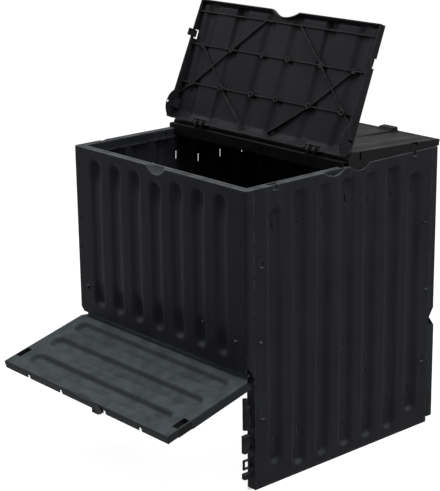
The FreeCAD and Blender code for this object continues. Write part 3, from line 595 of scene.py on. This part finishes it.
def roof(y):
    """Height of the lid's top: the lower of two slopes, blended softly at the ridge."""
    rise = EAVE_Z + (RIDGE_Z - EAVE_Z) * (y - FREE_Y) / (RIDGE_Y - FREE_Y)
    fall = RIDGE_Z + (EDGE_Z - RIDGE_Z) * (y - RIDGE_Y) / (EDGE_Y - RIDGE_Y)
    return (rise + fall - np.sqrt((rise - fall) ** 2 + 4)) / 2


def window(x, half, edge):
    """1 inside ±half, 0 outside, eased over the edge."""
    return ease((half - np.abs(x)) / edge + 0.5)


def lid_relief(x, y, inner):
    """Pads pressed down between the columns of bosses, and two wedges standing proud.

    A wedge is a low ramp that starts halfway and ends in a short block at the free edge.
    Underneath, the pads are deeper and the wedges narrower by a wall.
    """
    edge, depth = (13, 6.0) if inner else (16, 2.0)
    skin = WALL if inner else 0.0
    pads = sum(window(x - c, h, edge) for c, h in zip(PAD_XS, PAD_HALVES))
    pads = pads * ease((-y - 4) / 26) * ease((y + 343) / 10)
    crest = np.interp(-y, (165, 316, 326, 345), (0.0, 1.8, 9.0, 10.5))
    proud = crest * window(np.abs(x) - WEDGE_X, WEDGE_HALF - skin, WEDGE_EDGE)
    proud = proud * ease((y + WEDGE_END - skin) / WEDGE_STEP)
    return np.maximum(proud - 0.2, 0) - depth * pads * (1 - np.clip(proud, 0, 1))


def lid_face(u, v, inner):
    """Tray: u across with a skirt at both ends, v from the free edge's skirt to the hinge."""
    radius, skin = (FOLD_R_INSIDE, WALL) if inner else (FOLD_R, 0)
    edge, front = HALF - skin, -FREE_Y - skin
    out, down_u = fold(np.abs(u) - (edge - radius), radius)
    ahead, down_v = fold(-v - (front - radius), radius)
    x = np.sign(u) * np.minimum(edge - radius + out, edge)
    y = -(front - radius + ahead)
    mouth = GRIP_Y + np.sqrt(np.maximum((GRIP_R + skin) ** 2 - x ** 2, 0))
    y = np.maximum(y, mouth)
    share = np.clip(np.maximum(down_u, down_v) / SKIRT_RUN, 0, 1)
    x = x - np.sign(u) * DRAFT * ease(share * 1.6)
    top = roof(y) + lid_relief(x, y, inner) - skin
    return x, y, top + (SKIRT_Z - top) * share


def within(values, limits):
    """True where a value lies between two limits."""
    return (values > limits[0]) & (values < limits[1])


def lid_holes(u, v):
    """A slot and a notch in each end skirt, and the cuts that clear the bar's ears."""
    s = np.abs(u)
    slot = within(s, LID_SLOT) & within(v, LID_SLOT_Y)
    notch = within(s, LID_NOTCH) & within(v, LID_NOTCH_Y)
    hinge = (np.abs(s - HINGE_X) < HINGE_CLEAR) & (v > HINGE_CUT_Y)
    return slot | notch | hinge


# Grid lines at the folds, at the wedges' edges, at the cuts and beside the ridge
fold_steps = [FOLD_R * math.pi / 2 * k / 4 for k in range(5)]
skirt_steps = fold_steps + [SKIRT_RUN]
skirt_length = FOLD_R * math.pi / 2 + SKIRT_RUN - FOLD_R
u_end, v_end = HALF - FOLD_R + skirt_length, FREE_Y + FOLD_R - skirt_length
wedge_edges = [WEDGE_X + e * half for e in (-1, 1)
               for half in (WEDGE_HALF - 0.6, WEDGE_HALF + 0.6, WEDGE_HALF - WALL + 0.6)]
hinge_edges = [HINGE_X - HINGE_CLEAR, HINGE_X + HINGE_CLEAR]
wedge_ends = {-WEDGE_END, WEDGE_STEP - WEDGE_END, WALL - WEDGE_END,
              WALL + WEDGE_STEP - WEDGE_END}
lid_u = grid_line(-u_end, u_end, 6.0,
                  {e * m for e in (-1, 1)
                   for m in [HALF - FOLD_R + f for f in skirt_steps] + wedge_edges
                   + [LID_SLOT[1], *LID_NOTCH, *hinge_edges, 55]},
                  [(-345, -330, 2), (330, 345, 2)])
lid_v = grid_line(v_end, EDGE_Y, 6.0,
                  {FREE_Y + FOLD_R - f for f in skirt_steps} | wedge_ends
                  | {*LID_NOTCH_Y, *LID_SLOT_Y, HINGE_CUT_Y, RIDGE_Y, -22, -27, -18},
                  [(-362, -310, 2.0)])
lid_sheet = moulding(lambda u, v: lid_face(u, v, False), lambda u, v: lid_face(u, v, True),
                     lid_u, lid_v, lid_holes)


def lug_face(x):
    """Round lug below a skirt: flat sheet that ends on a circle round the pocket's middle."""
    def face(y, z):
        deep = np.sqrt(np.maximum(LUG_REACH ** 2 - (y - LUG_MIDDLE) ** 2, 0))
        return x, y, np.maximum(z, LUG_Z - HINGE_Z - deep)
    return face


lug = moulding(lug_face(347.9), lug_face(345.2),
               grid_line(LUG_MIDDLE - 36.2, LUG_MIDDLE + 36.2, 3,
                         zones=[(LUG_MIDDLE - 6, LUG_MIDDLE + 6, 1.15)]),
               grid_line(-39, -20, 3, zones=[(-39, -29, 1.15)]), None,
               [(LUG_MIDDLE, LUG_HOLE_Z - HINGE_Z, LUG_HOLE_R)])
slot_back = bars((338, 340, -56, -30, -21, 4))


def rib(x0, y0, x1, y1):
    """Upright rib under the roof between two points.

    A level one is a plain bar 3 mm thick. A slanting one is 4.4 mm wide across X and its
    top follows the roof. Their feet are 14.5 and 15 mm below the roof's top.
    """
    if abs(y1 - y0) < 1:
        top = float(roof(np.array(y0)))
        return bars((x0, x1, y0 - 1.5, y0 + 1.5, top - 14.5, top - 2.5))
    if y1 > y0:
        x0, y0, x1, y1 = x1, y1, x0, y0
    points = []
    for x, y in ((x0, y0), (x1, y1)):
        top = float(roof(np.array(y)))
        for side in (-2.2, 2.2):
            points += [(x + side, y, top - 15), (x + side, y, top - 2.5)]
    return np.array(points), BLOCK_SIDES


ribs = [rib(WALL - HALF, y, HALF - WALL, y) for y in (*BOSS_YS, -316)]
for x0, y0, x1, y1 in ((296, -221, 175, -110), (175, -110, 50, -16), (296, -110, 175, -221),
                       (175, -221, 67, -316), (296, -110, 347, -73)):
    ribs += [rib(x0, y0, x1, y1), rib(-x0, y0, -x1, y1)]
bosses = []
for x in BOSS_XS:
    for y in BOSS_YS:
        top = float(roof(np.array(y))) - 3.5
        section = [(8, -14), (8, top), (0.01, top), (0.01, -4), (4.2, -4), (4.2, -14)]
        bosses += [lathe(section, (e * x, y, 0)) for e in (-1, 1)]
tongues = bars((343.3, 346.7, -259, -239, -39, -7), (343.3, 348.5, -259, -239, -23.5, -7))
tongues = [tongues, mirrored(tongues, "X")]
knuckles = []
for middle in (-HINGE_X, HINGE_X):
    for start in (middle - 23.5, middle + 0.5):
        knuckles.append(lathe([(5, 0), (5, 7), (2.8, 7), (2.8, 0)], (start, 0, 0), "X", 24))
        arm = [(start + x, y, z) for x in (0, 7)
               for y, z in ((-17, 2.0), (-15.5, 5.0), (-3.2, -4.6), (-2.4, 4.2))]
        knuckles.append((np.array(arm), BLOCK_SIDES))


def swing(shape, degrees, y, z):
    """Lift a shape that hangs shut on an axis along X, then set the axis at y, z."""
    points, faces = shape
    c, s = math.cos(math.radians(degrees)), math.sin(math.radians(degrees))
    turned = np.stack([points[:, 0], points[:, 1] * c + points[:, 2] * s,
                       points[:, 2] * c - points[:, 1] * s], -1)
    return turned + (0, y, z), faces


def set_back(shape, y, z):
    """The same shape turned half round for the rear, with its axis at y, z."""
    points, faces = half_turn(shape)
    return points + (0, y, z), faces


lid_up = (0.0, math.sin(math.radians(LID_OPEN)), math.cos(math.radians(LID_OPEN)))
# Painted shade: the rear lid is the same moulding as the front one but gets a darker black,
# which holds down its top under the overhead lamps.
lid_black = {
    "front": plastic("front lid black", (.0098, .0098, .0122), (.0142, .0143, .0170),
                     (.060, .058, .054), 0.46, 0.04, 0.3, up=lid_up),
    "rear": plastic("rear lid shaded black", (.0082, .0080, .0084), (.0118, .0116, .0120),
                    (.024, .0225, .0195), 0.5, 0.04, 0.45)}
lid_placing = {
    "front": lambda shape: swing(shape, LID_OPEN, -HINGE_SPREAD, HINGE_Z),
    "rear": lambda shape: set_back(shape, HINGE_SPREAD, HINGE_Z)}
for side, place in lid_placing.items():
    body = side + "_lid"
    make(body + "_roof", [place(lid_sheet)], body, lid_black[side], (body,))
    make(body + "_ribs", [place(shape) for shape in ribs + bosses], body, lid_black[side],
         rounding=0.4)
    make(body + "_lugs", [place(shape) for half in (lug, slot_back)
                          for shape in (half, mirrored(half, "X"))], body, lid_black[side])
    make(body + "_tongues", [place(shape) for shape in tongues + knuckles], body,
         lid_black[side], rounding=0.4)

# Flaps
# Two identical lift-up flaps that close the lower third at the front and the rear. Each is
# one tray-shaped moulding with three level flutes, end returns and a notched lip along the
# free edge, and turns on two pins at its top corners.
FLAP_FACE, FLAP_TOP, FLAP_FREE = 12.0, 20.0, 279.6
RETURN_RUN, LIP_RUN = 24.5, 22.0
FLAP_OPEN = 75.2
FLAP_FLUTES = ((50, 315), (137, 315), (222, 296))
FLAP_SLOT, FLAP_SLOT_DOWN = (324.5, 346.9), (202.0, 243.0)
FLAP_NOTCH_XS, FLAP_NOTCH_HALF, FLAP_NOTCH_DOWN = (94.0, 240.0), 6.0, 286.0
FLAP_SCOOP = ((0.0, -120.0, -344.9), 134.0)


def flap_flutes(x, s):
    """Three level flutes of even depth; s is the distance down from the pivots."""
    return sum(scooped(s - down, x, -half, half, flat=10.0, shallow=0.0)
               for down, half in FLAP_FLUTES)


def flap_face(u, v, inner):
    """Tray: u across with a return at both ends, v down from the top edge to the lip."""
    radius, skin = (FOLD_R_INSIDE, WALL) if inner else (FOLD_R, 0)
    edge, free = HALF - skin, FLAP_FREE - skin
    out, down_u = fold(np.abs(u) - (edge - radius), radius)
    low, down_v = fold(v - (free - radius), radius)
    x = np.sign(u) * np.minimum(edge - radius + out, edge)
    s = np.minimum(free - radius + low, free)
    deep_u = (skin + down_u) * np.where(s > 223, 19 / RETURN_RUN, 1)
    deep = np.maximum(np.minimum(deep_u, RETURN_RUN), np.minimum(skin + down_v, LIP_RUN))
    deep = np.maximum(deep, skin)
    top = np.minimum(FLAP_TOP, FLAP_TOP - (np.abs(x) - 320) * 31 / 30)
    top = np.where(np.abs(u) > edge, -11 + 10 * deep / RETURN_RUN, top)
    z = np.minimum(-s, top)
    y = deep - FLAP_FACE + np.where(deep < 8, flap_flutes(x, -z), 0)
    return clear_ball((x, y, z), FLAP_SCOOP, skin)


def flap_holes(u, v):
    """A slot near each lower corner, two notches in each half of the lip, and the corners."""
    s = np.abs(u)
    slot = within(v, FLAP_SLOT_DOWN) & (within(s, FLAP_SLOT) | (s > 351.8))
    notch = (v > FLAP_NOTCH_DOWN) & np.any(
        [np.abs(s - x) < FLAP_NOTCH_HALF for x in FLAP_NOTCH_XS], axis=0)
    corner = (v > 279) & (s > 352)
    return slot | notch | corner


flap_u = HALF - FOLD_R + FOLD_R * math.pi / 2 + RETURN_RUN - FOLD_R
flap_v = FLAP_FREE - FOLD_R + FOLD_R * math.pi / 2 + LIP_RUN - FOLD_R
notch_edges = [x + e * FLAP_NOTCH_HALF for x in FLAP_NOTCH_XS for e in (-1, 1)]
flap_sheet = moulding(
    lambda u, v: flap_face(u, v, False), lambda u, v: flap_face(u, v, True),
    grid_line(-flap_u, flap_u, 5.0,
              {e * m for e in (-1, 1) for m in [HALF - FOLD_R + f for f in fold_steps]
               + notch_edges + [EAR_X, FLAP_SLOT[0]]}, [(-345, -280, 3), (280, 345, 3)]),
    grid_line(-FLAP_TOP, flap_v, 3.4, {11, *FLAP_SLOT_DOWN, FLAP_NOTCH_DOWN}
              | {FLAP_FREE - FOLD_R + f for f in fold_steps}),
    flap_holes)
# Ears round the pins; then painted shade: dark walls inside the slots and dark plates behind
# the notches, in the pins' darker black
flap_lugs = []
for start in (-330.5, 325.5):
    flap_lugs.append(lathe([(8, 0), (8, 5), (3.3, 5), (3.3, 0)], (start, 0, 0), "X"))
    flap_lugs.append(bars((start, start + 5, -FLAP_FACE + 1, -3.2, -8, 8)))
slot_shade_walls = bars((322, 324.5, -9.5, 10, -246, -199), (346.9, 349, -9.5, 11.5, -246, -199),
              (322, 349, -9.5, 10, -202, -199), (322, 349, -9.5, 10, -246, -243))
notch_shade_plates = bars(*[(e * x - 11, e * x + 11, -6, 5, -275, -271)
                 for e in (-1, 1) for x in FLAP_NOTCH_XS])
# Painted light: the flaps and their ears get a brighter copy of the walls' black. Their dust on
# faces that look up is dust.
flap_lit_black = plastic("flap lit black", (.0165, .0194, .0212), (.0225, .0265, .0292),
                     (.082, .096, .103), 0.48, 0.04, 0.62)
flap_placing = {
    "front": lambda shape: swing(shape, FLAP_OPEN, -PIVOT_Y, PIVOT_Z),
    "rear": lambda shape: set_back(shape, PIVOT_Y, PIVOT_Z)}
for side, place in flap_placing.items():
    body = side + "_flap"
    make(body + "_tray", [place(flap_sheet)], body, flap_lit_black, (body,))
    make(body + "_lugs", [place(shape) for shape in flap_lugs], body, flap_lit_black,
         rounding=0.4)
    # Painted shade: sheets of the pins' darker black behind the flap's slots and notches.
    make(body + "_painted_shade_walls", [place(shape) for shape in (slot_shade_walls, mirrored(slot_shade_walls, "X"),
                                                           notch_shade_plates)],
         body, pin_black)

# Flap studs
# Round stud pushed through the lip of each flap, to take hold of it with two fingers.
stud_black = plastic("stud black", *HARD_BLACK, grain_size=FINE_GRAIN)
paint_solids(["front_flap_stud", "rear_flap_stud"], stud_black)

# Floor, light and camera
# Plain pale floor under an even studio sky, large soft lamps overhead, at the left and at
# the right, and the camera at the photograph's own place.


def seen_ray(tree):
    """1 for rays that show the surface itself, straight, off gloss or through glass."""
    ray = node(tree, "LightPath")
    seen = node(tree, "Math", {0: ray.outputs["Is Camera Ray"],
                               1: ray.outputs["Is Glossy Ray"]},
                operation="MAXIMUM").outputs[0]
    return node(tree, "Math", {0: seen, 1: ray.outputs["Is Transmission Ray"]},
                operation="MAXIMUM").outputs[0]


FLOOR_REACH = 30.0
floor_mesh = bpy.data.meshes.new("floor")
floor_mesh.from_pydata([(x * FLOOR_REACH, y * FLOOR_REACH, 0)
                        for x, y in ((-1, -1), (1, -1), (1, 1), (-1, 1))], [], [(0, 1, 2, 3)])
floor = bpy.data.objects.new("floor", floor_mesh)
bpy.context.scene.collection.objects.link(floor)
floor_paint = bpy.data.materials.new("floor paint")
floor_paint.use_nodes = True
tree = floor_paint.node_tree
shader = tree.nodes["Principled BSDF"]
shader.inputs["Base Color"].default_value = (0.25, 0.25, 0.25, 1)
shader.inputs["Roughness"].default_value = 0.9
shader.inputs["Specular IOR Level"].default_value = 0.0
shader.inputs["Emission Color"].default_value = (1, 1, 1, 1)

# The ground under the bin is dark towards its right and rear corner. This is painted shade for
# the dark inside of the bin, made by taking the floor's glow away there. It stays as bright as
# the rest beyond the footprint, and inside it where both x + y and x / 2 + y fall short.
FLOOR_GLOW, FOOTPRINT = 0.95, SIDE_END * 0.001
spot = node(tree, "TexCoord").outputs["Object"]
beyond = node(tree, "VectorMath", {0: spot}, operation="ABSOLUTE").outputs[0]
beyond = node(tree, "VectorMath", {0: beyond, 1: (FOOTPRINT, FOOTPRINT, 0)},
              operation="SUBTRACT").outputs[0]
beyond = node(tree, "VectorMath", {0: beyond, 1: (0, 0, 0)}, operation="MAXIMUM").outputs[0]
beyond = node(tree, "VectorMath", {0: beyond}, operation="LENGTH").outputs["Value"]
to_corner = node(tree, "VectorMath", {0: spot, 1: (1, 1, 0)},
                 operation="DOT_PRODUCT").outputs["Value"]
to_rear = node(tree, "VectorMath", {0: spot, 1: (0.5, 1, 0)},
               operation="DOT_PRODUCT").outputs["Value"]
to_rear = node(tree, "Math", {0: to_rear, 1: 0.05}, operation="SUBTRACT").outputs[0]
inward = node(tree, "Math", {0: to_corner, 1: to_rear}, operation="MAXIMUM").outputs[0]
bright = node(tree, "Math", {0: ramp(tree, beyond, 0.0, 0.02, 0.0, FLOOR_GLOW),
                             1: ramp(tree, inward, -0.01, 0.01, FLOOR_GLOW, 0.0)},
              operation="MAXIMUM").outputs[0]
tree.links.new(product(tree, seen_ray(tree), bright), shader.inputs["Emission Strength"])
floor_mesh.materials.append(floor_paint)

world = bpy.data.worlds.new("studio sky")
bpy.context.scene.world = world
world.use_nodes = True
tree = world.node_tree
tree.nodes["Background"].inputs["Color"].default_value = (1, 1, 1, 1)
SKY_LIGHT, SKY_SEEN = 0.26, 1.0
tree.links.new(ramp(tree, seen_ray(tree), 0.0, 1.0, SKY_LIGHT, SKY_SEEN),
               tree.nodes["Background"].inputs["Strength"])


def lamp(name, place, target, size, watts):
    """Square soft lamp at a place, turned to face the target."""
    light = bpy.data.lights.new(name, "AREA")
    light.size = size
    light.energy = watts
    item = bpy.data.objects.new(name, light)
    bpy.context.scene.collection.objects.link(item)
    ahead = np.array(target, float) - place
    ahead /= np.linalg.norm(ahead)
    side = np.cross(ahead, (0, 1, 0.01))
    side /= np.linalg.norm(side)
    up = np.cross(side, ahead)
    turn = np.eye(4)
    turn[:3, :4] = np.stack([side, up, -ahead, place], -1)
    item.matrix_world = turn.T.tolist()


lamp("overhead", (1.1, -0.3, 3.2), (0, 0, 0.5), 2.0, 62)
lamp("left", (-2.3, -1.2, 3.0), (0, 0, 0.6), 1.4, 52)
lamp("right", (3.5, -0.1, 1.9), (0, 0, 0.5), 2.0, 34)

# Camera: angles in radians, place in metres and focal length in millimetres
AZIMUTH, ELEVATION, ROLL = 0.85531817, 0.29155261, -0.01368423
CAMERA_PLACE, FOCAL_LENGTH = (2.9827, -2.7225, 1.7236), 111.917
ahead = np.array([-math.sin(AZIMUTH) * math.cos(ELEVATION),
                  math.cos(AZIMUTH) * math.cos(ELEVATION), -math.sin(ELEVATION)])
right = np.cross(ahead, (0, 0, 1))
right /= np.linalg.norm(right)
over = np.cross(right, ahead)
turned_right = math.cos(ROLL) * right + math.sin(ROLL) * over
turned_over = math.cos(ROLL) * over - math.sin(ROLL) * right
lens = bpy.data.cameras.new("camera")
lens.lens = FOCAL_LENGTH
lens.sensor_width = 36.0
lens.clip_end = 100
camera = bpy.data.objects.new("camera", lens)
bpy.context.scene.collection.objects.link(camera)
turn = np.eye(4)
turn[:3, :4] = np.stack([turned_right, turned_over, -ahead, CAMERA_PLACE], -1)
camera.matrix_world = turn.T.tolist()
bpy.context.scene.camera = camera
bpy.context.scene.view_settings.view_transform = "Standard"
